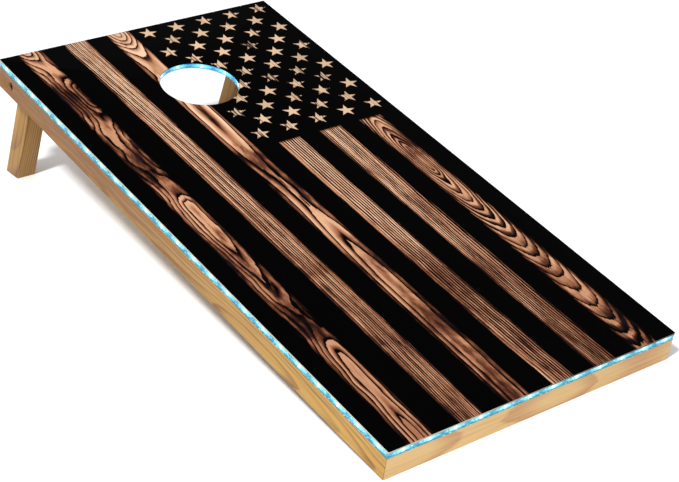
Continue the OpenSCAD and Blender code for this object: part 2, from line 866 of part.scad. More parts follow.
// Saddles that hold the hole's lead against the deck.
module lead_clips() {
    run = lead_end - lead_turn;
    heading = atan2(run.y, run.x);
    h = lead_d + 1.4;
    color("#f0f0ee") on_board() for (s = [0.3, 0.75])
        translate(lead_turn + s * run) rotate(heading) difference() {
            translate([-clip_l / 2, -clip_w / 2, box_top - h - lead_z])
                cube([clip_l, clip_w, h]);
            translate([-clip_l, 0, 0]) rotate([0, 90, 0])
                cylinder(d = lead_d + 2 * seat_gap, h = 2 * clip_l);
            translate([-clip_l, -lead_d / 2 - seat_gap, 0])
                cube([2 * clip_l, lead_d + 2 * seat_gap, lead_d]);
        }
}

// ---- Screws ----

module deck_screws() {
    color("#a8853f") on_board() at_deck_screws() wood_screw(screw_d, screw_l);
}

module corner_screws() {
    color("#a8853f") on_board() for (side = ["left", "right"]) on_side(side)
        at_corner_screws() wood_screw(screw_d, screw_l);
}

module pivot_block_screws() {
    color("#a8853f") on_board() for (side = ["left", "right"]) on_side(side)
        at_pivot_block_screws() wood_screw(screw_d, short_screw_l);
}

module pocket_screws() {
    color("#a8853f") on_board() for (side = ["left", "right"]) on_side(side) at_pocket_screws()
        difference() {
            union() {
                cylinder(d = screw_d, h = pocket_screw_l);
                translate([0, 0, -pocket_head_h]) cylinder(d = pocket_d - 1, h = pocket_head_h);
            }
            translate([0, 0, -pocket_head_h]) cube([3, 3, 3], center = true);
        }
}

module box_screws() {
    color("#9a9da1") on_board() at_box_screws() wood_screw(small_screw_d, small_screw_l);
}

module plate_screws() {
    color("#9a9da1") on_board() at_plate_screws() wood_screw(small_screw_d, small_screw_l);
}

deck_panel();
front_rail();
back_rail();
left_rail();
right_rail();
cross_brace();
corner_block_left();
corner_block_right();
pivot_block_left();
pivot_block_right();
leg_left();
leg_right();
pivot_bolt_left();
pivot_bolt_right();
pivot_washers();
lock_nuts();
sleeve_front();
sleeve_back();
sleeve_left();
sleeve_right();
tape_front();
tape_back();
tape_left();
tape_right();
edge_chips();
edge_resistors();
hole_sleeve();
hole_tape();
hole_chips_ring();
battery_box();
battery_cover();
control_plate();
battery_cells();
contact_springs();
contact_plates();
control_board();
tact_switch();
power_button();
edge_lead();
hole_lead();
lead_clips();
deck_screws();
corner_screws();
pivot_block_screws();
pocket_screws();
box_screws();
plate_screws();
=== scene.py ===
"""The looks of the cornhole board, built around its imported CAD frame. Metres, in the frame's own axes."""

import json
import math

import bmesh
import bpy
import numpy as np
from mathutils import Euler, Matrix, Vector


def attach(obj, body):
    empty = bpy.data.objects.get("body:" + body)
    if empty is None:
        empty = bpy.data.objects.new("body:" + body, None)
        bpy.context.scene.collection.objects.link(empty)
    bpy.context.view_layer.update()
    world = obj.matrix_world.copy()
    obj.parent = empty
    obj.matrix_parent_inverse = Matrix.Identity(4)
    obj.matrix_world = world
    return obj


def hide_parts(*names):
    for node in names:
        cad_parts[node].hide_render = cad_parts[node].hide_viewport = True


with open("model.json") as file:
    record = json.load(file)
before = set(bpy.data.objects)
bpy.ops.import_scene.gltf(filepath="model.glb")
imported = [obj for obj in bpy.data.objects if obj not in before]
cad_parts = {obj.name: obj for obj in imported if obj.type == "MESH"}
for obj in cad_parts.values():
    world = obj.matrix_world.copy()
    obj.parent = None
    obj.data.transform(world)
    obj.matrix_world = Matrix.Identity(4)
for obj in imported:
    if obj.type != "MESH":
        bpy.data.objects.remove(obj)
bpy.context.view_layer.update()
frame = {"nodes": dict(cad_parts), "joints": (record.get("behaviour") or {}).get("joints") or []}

# ---------------------------------------------------------------- the board's own frame

JOINTS = {j["name"]: j for j in frame["joints"]}
DECK_NORMAL = Vector(JOINTS["power_button_press"]["axis"]).normalized()
TILT = math.atan2(-DECK_NORMAL.y, DECK_NORMAL.z)
TURN = Matrix.Rotation(TILT, 4, "X")


def corners(node):
    """A CAD node's vertices in axes turned with the deck, as an array."""
    points = np.array([v.co for v in frame["nodes"][node].data.vertices], float)
    return points @ np.array(TURN.to_3x3())


def turned_box(node):
    points = corners(node)
    return points.min(0), points.max(0)


deck_low, deck_high = turned_box("deck_panel")
# The low edge's middle, on the deck's top face, in the row's frame
ORIGIN = TURN @ Vector(((deck_low[0] + deck_high[0]) / 2, deck_low[1], deck_high[2]))
DECK_W = float(deck_high[0] - deck_low[0])
DECK_L = float(deck_high[1] - deck_low[1])
TO_ROW = Matrix.Translation(ORIGIN) @ TURN
TO_DECK = TO_ROW.inverted()


def deck_points(node):
    """A CAD node's vertices in the deck's frame: x across, y up the slope, z off its face."""
    inverse = np.array(TO_DECK)
    points = np.array([v.co for v in frame["nodes"][node].data.vertices], float)
    return points @ inverse[:3, :3].T + inverse[:3, 3]


def islands(node):
    """The lowest and highest corner of each separate solid of a node, in the deck's frame."""
    mesh = frame["nodes"][node].data
    points = deck_points(node)
    keys = {}
    for i, p in enumerate(np.round(points, 5)):
        keys.setdefault(tuple(p), []).append(i)
    parent = list(range(len(points)))

    def find(i):
        while parent[i] != i:
            parent[i] = parent[parent[i]]
            i = parent[i]
        return i

    for same in keys.values():
        for i in same[1:]:
            parent[find(i)] = find(same[0])
    for edge in mesh.edges:
        parent[find(edge.vertices[0])] = find(edge.vertices[1])
    groups = {}
    for i in range(len(points)):
        groups.setdefault(find(i), []).append(i)
    return [(points[g].min(0), points[g].max(0)) for g in groups.values()]


CHIPS = [(low + high) / 2 for low, high in islands("edge_chips")]
HOLE_CHIPS = [(low + high) / 2 for low, high in islands("hole_chips_ring")]
hole_points = deck_points("hole_tape")
HOLE_Y = float(hole_points[:, 1].min() + hole_points[:, 1].max()) / 2
HOLE_TAPE_R = float(hole_points[:, 0].max())


# A face counts as square to the deck where its normal's share along the deck's is over this
SQUARE = 0.99995


# ---------------------------------------------------------------- patterns as formulas


class Value:
    """A number that varies over a surface, with arithmetic, so that a pattern reads as a formula."""

    def __init__(self, graph, socket):
        self.graph = graph
        self.socket = socket

    def __add__(self, other):
        return self.graph.math("ADD", self, other)

    __radd__ = __add__

    def __sub__(self, other):
        return self.graph.math("SUBTRACT", self, other)

    def __rsub__(self, other):
        return self.graph.math("SUBTRACT", other, self)

    def __mul__(self, other):
        return self.graph.math("MULTIPLY", self, other)

    def __truediv__(self, other):
        return self.graph.math("DIVIDE", self, other)

    def __gt__(self, other):
        return self.graph.math("GREATER_THAN", self, other)

    def __lt__(self, other):
        return self.graph.math("LESS_THAN", self, other)

    def __abs__(self):
        return self.graph.math("ABSOLUTE", self)

    def min(self, other):
        return self.graph.math("MINIMUM", self, other)

    def max(self, other):
        return self.graph.math("MAXIMUM", self, other)

    def clamp(self):
        return self.graph.math("ADD", self, 0, clamp=True)

    def sqrt(self):
        return self.graph.math("SQRT", self)

    def fraction(self):
        return self.graph.math("FRACT", self)

    def floor(self):
        return self.graph.math("FLOOR", self)

    def smooth(self, low, high):
        """0 below low, 1 above high, and an eased step between. It falls where low is over high."""
        falling = low > high
        node = self.graph.node("ShaderNodeMapRange")
        node.interpolation_type = "SMOOTHSTEP"
        self.graph.put(node.inputs["Value"], self)
        ends = (high, low, 1, 0) if falling else (low, high, 0, 1)
        for name, end in zip(("From Min", "From Max", "To Min", "To Max"), ends):
            node.inputs[name].default_value = end
        return Value(self.graph, node.outputs["Result"])

    def repeat(self, period):
        """The distance from the nearest multiple of period, signed."""
        return ((self / period + 0.5).fraction() - 0.5) * period


class Graph:
    """One material's nodes."""

    def __init__(self, name):
        self.material = bpy.data.materials.new(name)
        self.material.use_nodes = True
        self.tree = self.material.node_tree
        self.shader = self.tree.nodes["Principled BSDF"]
        self.count = 0

    def node(self, kind):
        node = self.tree.nodes.new(kind)
        node.location = (-220 * (self.count // 12) - 220, 260 * (self.count % 12) - 900)
        self.count += 1
        return node

    def put(self, socket, value):
        if isinstance(value, Value):
            value = value.socket
        if isinstance(value, bpy.types.NodeSocket):
            self.tree.links.new(value, socket)
        else:
            socket.default_value = value

    def math(self, operation, *values, clamp=False):
        node = self.node("ShaderNodeMath")
        node.operation = operation
        node.use_clamp = clamp
        for socket, value in zip(node.inputs, values):
            self.put(socket, value)
        return Value(self, node.outputs[0])

    def coordinates(self, origin=ORIGIN, turn=TILT):
        """x, y and z in a frame that is turned about X: the deck's, unless another is given."""
        here = self.node("ShaderNodeTexCoord")
        mapping = self.node("ShaderNodeMapping")
        mapping.vector_type = "TEXTURE"
        mapping.inputs["Location"].default_value = origin
        mapping.inputs["Rotation"].default_value = (turn, 0, 0)
        self.put(mapping.inputs["Vector"], here.outputs["Object"])
        split = self.node("ShaderNodeSeparateXYZ")
        self.put(split.inputs[0], mapping.outputs[0])
        return [Value(self, s) for s in split.outputs]

    def vector(self, x, y, z):
        node = self.node("ShaderNodeCombineXYZ")
        for socket, value in zip(node.inputs, (x, y, z)):
            self.put(socket, value)
        return node.outputs[0]

    def noise(self, vector, scale=1.0, detail=2.0, rough=0.5, distortion=0.0, centred=False):
        node = self.node("ShaderNodeTexNoise")
        self.put(node.inputs["Vector"], vector)
        settings = (("Scale", scale), ("Detail", detail), ("Roughness", rough), ("Distortion", distortion))
        for name, value in settings:
            node.inputs[name].default_value = value
        value = Value(self, node.outputs["Fac"])
        return value - 0.5 if centred else value

    def cells(self, vector, scale=1.0):
        """(distance to the nearest point, a random number for each cell)"""
        node = self.node("ShaderNodeTexVoronoi")
        self.put(node.inputs["Vector"], vector)
        node.inputs["Scale"].default_value = scale
        split = self.node("ShaderNodeSeparateColor")
        self.put(split.inputs[0], node.outputs["Color"])
        return Value(self, node.outputs["Distance"]), Value(self, split.outputs[0])

    def mix(self, amount, first, second):
        node = self.node("ShaderNodeMix")
        node.data_type = "RGBA"
        self.put(node.inputs[0], amount)
        self.put(node.inputs[6], rgba(first))
        self.put(node.inputs[7], rgba(second))
        return node.outputs[2]

    def ramp(self, value, stops):
        node = self.node("ShaderNodeValToRGB")
        elements = node.color_ramp.elements
        while len(elements) < len(stops):
            elements.new(1)
        for element, (place, colour) in zip(elements, stops):
            element.position = place
            element.color = rgba(colour)
        self.put(node.inputs[0], value)
        return node.outputs[0]

    def curves(self, place, *tables):
        """Up to three smooth curves over place, each given as points in a unit square."""
        node = self.node("ShaderNodeRGBCurve")
        node.mapping.extend = "HORIZONTAL"
        for curve, table in zip(node.mapping.curves, tables):
            points = curve.points
            while len(points) < len(table):
                points.new(0.5, 0.5)
            for point, (x, y) in zip(points, table):
                point.location = (x, y)
                point.handle_type = "AUTO_CLAMPED"
        node.mapping.update()
        self.put(node.inputs["Color"], self.vector(place, place, place))
        split = self.node("ShaderNodeSeparateColor")
        self.put(split.inputs[0], node.outputs[0])
        return [Value(self, s) for s in split.outputs][:3]

    def table(self, place, edges, rows):
        """Looks up a row of three numbers by where place falls between edges, all from 0 to 1."""
        node = self.node("ShaderNodeValToRGB")
        node.color_ramp.interpolation = "CONSTANT"
        low = [min(r[i] for r in rows) for i in range(3)]
        span = [max(max(r[i] for r in rows) - low[i], 1e-6) for i in range(3)]
        elements = node.color_ramp.elements
        while len(elements) < len(rows):
            elements.new(1)
        for element, edge, row in zip(elements, edges, rows):
            element.position = edge
            element.color = (*((row[i] - low[i]) / span[i] for i in range(3)), 1)
        self.put(node.inputs[0], place)
        split = self.node("ShaderNodeSeparateColor")
        self.put(split.inputs[0], node.outputs[0])
        return [Value(self, split.outputs[i]) * span[i] + low[i] for i in range(3)]

    def bump(self, height, strength=0.3, distance=0.001):
        node = self.node("ShaderNodeBump")
        node.inputs["Strength"].default_value = strength
        node.inputs["Distance"].default_value = distance
        self.put(node.inputs["Height"], height)
        self.put(self.shader.inputs["Normal"], node.outputs[0])

    def finish(self, colour=None, rough=None, **fixed):
        """Sets the shader: colour and rough may be patterns, and the rest are constants."""
        if colour is not None:
            self.put(self.shader.inputs["Base Color"], rgba(colour))
        if rough is not None:
            self.put(self.shader.inputs["Roughness"], rough)
        for name, value in fixed.items():
            self.shader.inputs[name.replace("_", " ").title().replace("Ior", "IOR")].default_value = value
        return self.material


def rgba(colour):
    """A colour given as sRGB bytes, as linear RGBA. A socket passes through."""
    if not isinstance(colour, tuple):
        return colour
    linear = [c / 12.92 if c <= 0.04045 else ((c + 0.055) / 1.055) ** 2.4 for c in (b / 255 for b in colour)]
    return (*linear, 1)


# ---------------------------------------------------------------- wood


def growth_lines(rings, sharp=0.9):
    """From 0 in early wood to 1 in late wood: each ring darkens slowly and ends sharply."""
    phase = rings.fraction()
    return phase.smooth(0.35, sharp) * phase.smooth(1.0, sharp + 0.02)


def pine(name, light, dark, origin=ORIGIN, turn=TILT, axis="y", pith=(0.06, -0.05), ring=0.0048, seed=0.0,
         knots=0.0, painted_shade=0.0):
    """Clear-sealed softwood, ringed round a pith line along axis, at pith across and below it."""
    g = Graph(name)
    x, y, z = g.coordinates(origin, turn)
    along, across = (y, x) if axis == "y" else (x, y)
    if axis == "z":
        along, across, z = z, x, y
    slow = g.vector(across * 6, along * 1.6 + seed, z * 6)
    wobble = g.noise(slow, 1, 2, 0.5, centred=True)
    drift = g.noise(g.vector(along * 2.2 + seed, 0.0, 0.0), 1, 1, 0.5, centred=True)
    u = across - pith[0] + drift * 0.05
    v = z - pith[1] + wobble * 0.035
    rings = (u * u + v * v).sqrt() / ring
    rings = rings + g.noise(g.vector(across * 60, along * 4 + seed, z * 60), 1, 2, 0.6, centred=True) * 0.35
    key = rings.floor() * 12.9898 + seed
    late = growth_lines(rings) * (0.4 + (g.math("SINE", key) * 43758.5).fraction() * 0.8)
    fibre = g.noise(g.vector(across * 900, along * 22 + seed, z * 900), 1, 3, 0.7)
    fleck = g.noise(g.vector(across * 2600, along * 130 + seed, z * 2600), 1, 1, 0.5)
    tone = g.noise(g.vector(across * 10, along * 2.4 + seed, z * 10), 1, 3, 0.55)
    streaks = g.noise(g.vector(across * 260, along * 5 + seed, z * 260), 1, 3, 0.6).smooth(0.46, 0.68)
    heart = late * 0.62 + fibre.smooth(0.35, 0.8) * 0.20 + tone.smooth(0.3, 0.75) * 0.25 + streaks * 0.30
    if knots:
        near, pick = g.cells(g.vector(across * 5 + seed, along * 3.2, z * 5 + 0.4), 1)
        spot = near.smooth(0.22, 0.03) * (pick > 1 - knots)
        heart = heart + spot * (0.6 + growth_lines(near * 28) * 0.6)
    # Painted shade: the wood darkens steadily towards the deck's back end.
    if painted_shade:
        heart = heart + (along / DECK_L).smooth(0.0, 1.0) * painted_shade
    colour = g.mix(heart.clamp(), light, dark)
    colour = g.mix(fleck.smooth(0.62, 0.8) * 0.18, colour, dark)
    g.bump(late * 0.3 + fibre * 0.5 + fleck * 0.2, 0.22, 0.0006)
    rough = (0.42 + fibre * 0.18 - late * 0.08).clamp()
    return g.finish(colour, rough, coat_weight=0.08, coat_roughness=0.30, specular_ior_level=0.25)


# What each printed stripe looks like, counted from the left. Places along it are millimetres up from the low
# edge. Growth lines are the cut through rings that lie ring apart. The pith runs along the stripe, pith off
# its middle and depth below the face, and both change on the way up the deck. out says on which side of a
# line the wood darkens. fine is how straight and close the grain is, tone how light, and scorch how burnt.
STRIPE_W = 0.0495
STRIPES = [
    dict(middle=-0.2425, ring=6.5, out=-1, warp=1.5, fine=0.10, tone=-0.03,
         depth=[(0, 5), (100, 8), (215, 14), (310, 24), (560, 10), (640, 9), (700, 20), (860, 26), (980, 18),
                (1040, 4), (1100, 17), (1150, 24), (1219, 12)],
         pith=[(0, 0), (310, 8), (560, 7), (700, 11), (860, -8), (960, 14), (1040, 24), (1120, 14),
               (1219, -8)],
         scorch=[(0, 0.3), (200, 0.3), (310, 0.95), (400, 0.55), (500, 0.7), (640, 0.2), (730, 0.8),
                 (900, 0.7), (1050, 0.95), (1150, 0.35), (1219, 0.5)]),
    dict(middle=-0.1435, ring=3.3, out=1, warp=0.3, fine=1.0, tone=-0.04,
         depth=[(0, 40), (1219, 44)],
         pith=[(0, -62), (410, -50), (700, -58), (1219, -66)],
         scorch=[(0, 0.7), (380, 0.6), (410, 1.0), (440, 0.6), (800, 0.4), (1219, 0.35)]),
    dict(middle=-0.0480, ring=7.0, out=-1, warp=0.30, fine=0.10, tone=0.11,
         depth=[(0, 17.5), (340, 17.5), (400, 19.5), (458, 21.5), (598, 28.5), (690, 27.6), (770, 24),
                (910, 22), (1000, 27), (1058, 38), (1219, 3)],
         pith=[(0, 2), (400, 4), (600, 5), (770, -1), (910, 0), (1100, 3), (1219, -2)],
         scorch=[(0, 0.80), (370, 0.75), (480, 0.5), (600, 0.75), (690, 1.0), (780, 0.6), (880, 0.1),
                 (1000, 0.3), (1219, 0.4)]),
    dict(middle=0.0455, ring=4.3, out=1, warp=0.35, fine=0.85, tone=0.06,
         depth=[(0, 30), (757, 36)],
         pith=[(0, -44), (300, -52), (757, -46)],
         scorch=[(0, 0.75), (250, 0.85), (450, 0.5), (757, 0.3)]),
    dict(middle=0.1400, ring=3.7, out=1, warp=0.35, fine=0.9, tone=-0.01,
         depth=[(0, 34), (757, 38)],
         pith=[(0, 56), (300, 50), (757, 60)],
         scorch=[(0, 0.8), (180, 0.75), (260, 1.0), (320, 0.6), (600, 0.3), (757, 0.25)]),
    dict(middle=0.2345, ring=4.4, out=1, warp=0.7, fine=0.30, tone=0.06,
         depth=[(0, 80), (150, 63), (300, 45), (445, 24), (530, 11), (595, 1), (680, 11), (757, 24)],
         pith=[(0, -6), (300, -3), (500, 0), (757, 2)],
         scorch=[(0, 0.7), (200, 0.8), (440, 0.45), (600, 0.8), (757, 0.4)]),
]
DEPTH_SPAN = 100.0
PITH_SPAN = 100.0
CANTON_LEFT = -0.0234
CANTON_END = 0.757
STAR_R = 0.0193
STAR_INNER = 0.382
STAR_STEP = (0.0661, 0.0798)
STAR_FIRST = (0.0093, 1.1943)


def star(graph, x, y):
    """Distance inside the edge of a five-pointed star, one point towards +x, at the middle of x and y."""
    sector = 2 * math.pi / 5
    radius = (x * x + y * y).sqrt()
    angle = abs((graph.math("ARCTAN2", y, x)).repeat(sector))
    inner = Vector((math.cos(sector / 2), math.sin(sector / 2))) * STAR_R * STAR_INNER
    normal = Vector((inner.y, STAR_R - inner.x)).normalized()
    px = radius * graph.math("COSINE", angle)
    py = radius * graph.math("SINE", angle)
    return (STAR_R - px) * normal.x - py * normal.y


def star_field(graph, x, y):
    """(distance inside the nearest star's edge, a random number for each star)"""
    dx, dy = STAR_STEP
    found = []
    for shift_x, shift_y, low, high in ((0, 0, -0.5, 4.5), (0.5, -0.5, -0.5, 3.5)):
        first_x = STAR_FIRST[0] + shift_x * dx
        column = x - first_x
        row = y - STAR_FIRST[1] - shift_y * dy
        inside = star(graph, column.repeat(dx), row.repeat(dy))
        held = (column > low * dx) * (column < high * dx)
        key = (column / dx + 0.5).floor() * 7.31 + (row / dy + 0.5).floor() * 3.17 + shift_x * 11
        found.append((inside * held - (1 - held) * STAR_R, key))
    found = [(inside.min(y - CANTON_END - 0.020), key) for inside, key in found]
    (a, key_a), (b, key_b) = found
    b_wins = b > a
    key = key_a + (key_b - key_a) * b_wins
    random = graph.math("SINE", key * 12.9898) * 43.758
    return a.max(b), random.fraction()


def stripe_figures(graph, x, y):
    """The pith's place off each stripe's middle and its depth, in metres, and how scorched it is there."""
    place = y / DECK_L
    total = [0, 0, 0]
    middles = [s["middle"] for s in STRIPES]
    ends = [-1] + [(a + b) / 2 for a, b in zip(middles, middles[1:])] + [1]
    for stripe, low, high in zip(STRIPES, ends, ends[1:]):
        unit = [[(at / 1000 / DECK_L, value / DEPTH_SPAN) for at, value in stripe["depth"]],
                [(at / 1000 / DECK_L, value / PITH_SPAN + 0.5) for at, value in stripe["pith"]],
                [(at / 1000 / DECK_L, value) for at, value in stripe["scorch"]]]
        here = (x > low) * (x < high)
        total = [t + v * here for t, v in zip(total, graph.curves(place, *unit))]
    depth, pith, scorch = total
    return depth * (DEPTH_SPAN / 1000), (pith - 0.5) * (PITH_SPAN / 1000), scorch


def burnt_print(name):
    """The playing face is black, with scorched wood stripes and stars. The rest of the panel is plywood."""
    g = Graph(name)
    x, y, z = g.coordinates()
    place = x / DECK_W + 0.5
    middles = [s["middle"] for s in STRIPES]
    edges = [0] + [(a + b) / 2 / DECK_W + 0.5 for a, b in zip(middles, middles[1:])]

    def look(*names):
        return g.table(place, edges, [[s[n] for n in names] for s in STRIPES])

    middle, ring, out = look("middle", "ring", "out")
    warp, fine, tone = look("warp", "fine", "tone")
    depth, pith, scorch = stripe_figures(g, x, y)

    # Masks: the canton's stars, and the stripes outside it
    in_canton = (x > CANTON_LEFT - 0.001) * (y > CANTON_END)
    ragged = g.noise(g.vector(x * 700, y * 120, 0.0), 1, 3, 0.65, centred=True)
    stripe_in = STRIPE_W / 2 - abs(x - middle)
    stripe_in = stripe_in - in_canton
    stripe_in = stripe_in.min(CANTON_END - y + (x < CANTON_LEFT) * 9)
    star_in, star_random = star_field(g, x, y)
    star_in = star_in - (1 - in_canton)
    inside = stripe_in.max(star_in)
    drawn = (inside + ragged * 0.0014).smooth(-0.0003, 0.0005)

    # Growth lines round the pith. Every ring has a strength of its own.
    sway = g.noise(g.vector(y * 4.5, middle * 60, 0.0), 1, 2, 0.5, centred=True)
    wave = g.noise(g.vector(x * 22, y * 7.5, middle * 40), 1, 3, 0.5, 0.3, centred=True)
    u = x - middle - pith + sway * 0.006
    radius = (u * u + depth * depth).sqrt() + wave * warp * 0.012
    rings = radius * 1000 / ring * out
    unevenness = g.noise(g.vector(x * 330, y * 12, middle * 90), 1, 3, 0.6, centred=True)
    rings = rings + unevenness * (0.34 + fine * 0.30)
    phase = rings.fraction()
    key = (rings.floor() + middle * 1000) * 12.9898
    strength = (g.math("SINE", key) * 43758.5).fraction()
    band = (g.math("SINE", key + 4.1) * 24634.6).fraction()
    late = (phase - (1 - phase) * (1 - out) * 0.14).smooth(0.20, 0.95) * phase.smooth(1.0, 0.965)
    close = abs(phase - 0.62).smooth(0.36, 0.12) * strength.smooth(0.1, 0.8)
    thin = phase.smooth(0.70, 0.90) * phase.smooth(1.0, 0.955)

    # Fibres: long fine streaks, and short dashes where the grain is straight
    fibre = g.noise(g.vector(x * 1700, y * 24, 0.0), 1, 4, 0.72)
    streak = g.noise(g.vector(x * 620, y * 7.5, middle * 50), 1, 3, 0.65)
    broad = g.noise(g.vector(x * 120, y * 2.5, middle * 70), 1, 3, 0.6)
    dash = g.noise(g.vector(x * 900, y * 120, 3.0), 1, 2, 0.6)
    lines = streak.smooth(0.50, 0.64) * 0.8 + dash.smooth(0.5, 0.7) * 0.35 + broad.smooth(0.45, 0.7) * 0.5

    # Scorching: smoky patches, and a burnt rim along each edge
    smoke = g.noise(g.vector(x * 24, y * 7, middle * 30 + 5), 1, 4, 0.6, 0.6)
    soot = g.noise(g.vector(x * 90, y * 26, 7.0), 1, 4, 0.65)
    patch = (smoke * 0.7 + soot * 0.3 + scorch * 0.30).smooth(0.62, 0.90)
    rim = inside.smooth(0.0075, 0.0004)
    rim = rim * (0.30 + soot * 0.8 + fine * 0.1) * (1 - in_canton)

    # The term in y is painted shade: the stripes darken steadily towards the low front edge and are lightest
    # at the back.
    darkness = 0.02 - tone + scorch * 0.12 + band * 0.14 + (1 - y / DECK_L) * 0.20
    darkness = darkness + (late * 0.40 + thin * 0.50) * (0.45 + strength * 0.65) * (1 + fine * 0.45)
    darkness = darkness + (lines * 0.34 + close * 1.0 - 0.26) * fine
    darkness = darkness + fibre.smooth(0.42, 0.72) * (0.15 + fine * 0.2)
    darkness = darkness + patch * (0.52 - fine * 0.26) + rim * (0.55 - fine * 0.1)

    # Stars: each its own tone, some plain and some cut by dark grain
    bars = g.noise(g.vector(x * 260, y * 5, star_random * 9), 1, 2, 0.6)
    barred = bars.smooth(0.50, 0.60) * ((star_random * 7.3).fraction() > 0.35)
    star_dark = star_random * 0.30 + barred * 0.62 + fibre.smooth(0.42, 0.72) * 0.14
    darkness = darkness + (star_dark - darkness) * in_canton
    wood_tone = darkness.clamp()
    wood = g.ramp(wood_tone, [
        (0.0, (232, 196, 164)), (0.2, (200, 152, 118)), (0.4, (154, 104, 76)),
        (0.6, (100, 58, 38)), (0.8, (44, 23, 16)), (1.0, (4, 2, 2))])
    cream = g.mix(wood_tone.smooth(0.0, 0.9), (216, 182, 150), (30, 18, 16))
    wood = g.mix(in_canton, wood, cream)
    purple = smoke.smooth(0.45, 0.62) * soot.smooth(0.4, 0.7) * darkness.smooth(0.3, 0.6) * 0.22
    wood = g.mix(purple.clamp(), wood, (64, 44, 52))
    black = g.mix(fibre.smooth(0.3, 0.8), (1, 1, 1), (4, 3, 4))
    face = g.mix(drawn, black, wood)

    # Plywood: five plies on the edge, plain birch below. The hole's wall is black near the top.
    ply = (z / -0.0024).floor()
    ply_tone = (g.math("SINE", ply * 91.7) * 43.1).fraction()
    edge_grain = g.noise(g.vector(x * 240, y * 240, z * 2600), 1, 3, 0.65)
    glue = abs(z.repeat(0.0024)).smooth(0.00030, 0.00012)
    edge = g.mix((ply_tone * 0.35 + edge_grain * 0.6).clamp(), (206, 206, 194), (160, 152, 132))
    edge = g.mix(glue * 0.5, edge, (132, 104, 74))
    from_hole = (x * x + (y - HOLE_Y) * (y - HOLE_Y)).sqrt()
    # The front edge darkens towards the right, unevenly with its grain.
    mottle = (y < 0.001) * (x / DECK_W + 0.5).smooth(0.1, 0.8) * (0.55 + edge_grain * 0.4)
    edge = g.mix(mottle.clamp(), edge, (58, 42, 32))
    edge = g.mix(from_hole < 0.085, edge, (10, 12, 16))
    low_rings = ((x + 0.4) * (x + 0.4) + (y * 0.02 + 0.05) * (y * 0.02 + 0.05)).sqrt() / 0.012
    low_rings = low_rings + g.noise(g.vector(x * 5, y * 1.5, 2.0), 1, 3, 0.5, centred=True) * 3.2
    birch_line = growth_lines(low_rings) * 0.45 + fibre.smooth(0.35, 0.8) * 0.3 + smoke * 0.2
    birch = g.mix(birch_line.clamp(), (226, 200, 160), (170, 128, 86))
    deck_thickness = float(deck_high[2] - deck_low[2])
    panel = g.mix(z < -deck_thickness + 0.0004, edge, birch)
    on_top = z.smooth(-0.0007, -0.00035)
    g.bump(drawn * (fibre * 0.35 - thin * 0.6 - late * 0.25) + (1 - drawn) * fibre * 0.16, 0.30, 0.0007)
    rough = 0.5 + fibre * 0.14 + patch * 0.08 - drawn * 0.05
    return g.finish(g.mix(on_top, panel, face), rough.clamp(), specular_ior_level=0.006)


# ---------------------------------------------------------------- metals, plastics, lights


def metal(name, bright, dull, rough=0.3, brushed=(900, 900, 60)):
    g = Graph(name)
    x, y, z = g.coordinates()
    scratch = g.noise(g.vector(x * brushed[0], y * brushed[1], z * brushed[2]), 1, 3, 0.6)
    cloud = g.noise(g.vector(x * 130, y * 130, z * 130), 1, 3, 0.6)
    g.bump(scratch, 0.06, 0.0002)
    colour = g.mix((scratch * 0.5 + cloud.smooth(0.4, 0.7) * 0.5).clamp(), bright, dull)
    return g.finish(colour, (rough + scratch * 0.15 + cloud * 0.1).clamp(), metallic=1.0)


def plastic(name, colour, mottle, rough=0.5, grain=2600.0, depth=0.12, **fixed):
    g = Graph(name)
    x, y, z = g.coordinates()
    here = g.vector(x, y, z)
    spark = g.noise(here, grain, 2, 0.6)
    cloud = g.noise(here, 60, 4, 0.6)
    scuff = g.noise(g.vector(x * 700, y * 90, z * 700), 1, 2, 0.6).smooth(0.66, 0.78)
    g.bump(spark, depth, 0.0002)
    mixed = (cloud.smooth(0.35, 0.75) * 0.5 + scuff * 0.5).clamp()
    return g.finish(g.mix(mixed, colour, mottle), (rough + spark * 0.12 - scuff * 0.1).clamp(), **fixed)


def black_oxide(name):
    return metal(name, (52, 52, 56), (24, 24, 27), 0.38)


PITCH = 0.0508


def glow_colours(graph, glow, shimmer, weak=(34, 150, 172), strong=(160, 240, 252)):
    """Lit tape: deep blue-green between the chips, and near white at each."""
    light = graph.mix(glow, weak, strong)
    graph.put(graph.shader.inputs["Emission Color"], light)
    graph.put(graph.shader.inputs["Emission Strength"], (1.0 + glow * 1.5) * (0.62 + shimmer * 0.85))


def lit_tape(name, horizontal, first):
    """Circuit tape lit by its own chips, with copper traces along its edges."""
    g = Graph(name)
    x, y, z = g.coordinates()
    along = x if horizontal else y
    low, high = (v[2] for v in islands("edge_chips")[0])
    middle = float(low + high) / 2
    off = (along - first).repeat(PITCH)
    sag = g.noise(g.vector(along * 46, 0.0, 0.0), 1, 2, 0.5, centred=True) * 0.006
    drop = z - middle + sag
    halo = (off * off * 0.10 + drop * drop).sqrt().smooth(0.0088, 0.0010)
    dot = (off.repeat(PITCH / 3) * off.repeat(PITCH / 3) * 0.5 + drop * drop).sqrt()
    dot = dot.smooth(0.0022, 0.0006) * 0.45
    streak = g.noise(g.vector(along * 210, z * 900, 0.0), 1, 3, 0.6)
    trace = abs(abs(z - middle) - 0.0036).smooth(0.0006, 0.0004)
    speck = g.noise(g.vector(x * 900, y * 900, z * 900), 1, 2, 0.6)
    base = g.mix(trace * 0.5, (40, 92, 112), (20, 60, 84))
    base = g.mix(speck.smooth(0.55, 0.75) * 0.3, base, (60, 120, 140))
    glow_colours(g, (halo + dot).clamp(), streak.smooth(0.36, 0.66))
    return g.finish(base, (0.35 + speck * 0.2).clamp(), specular_ior_level=0.2)


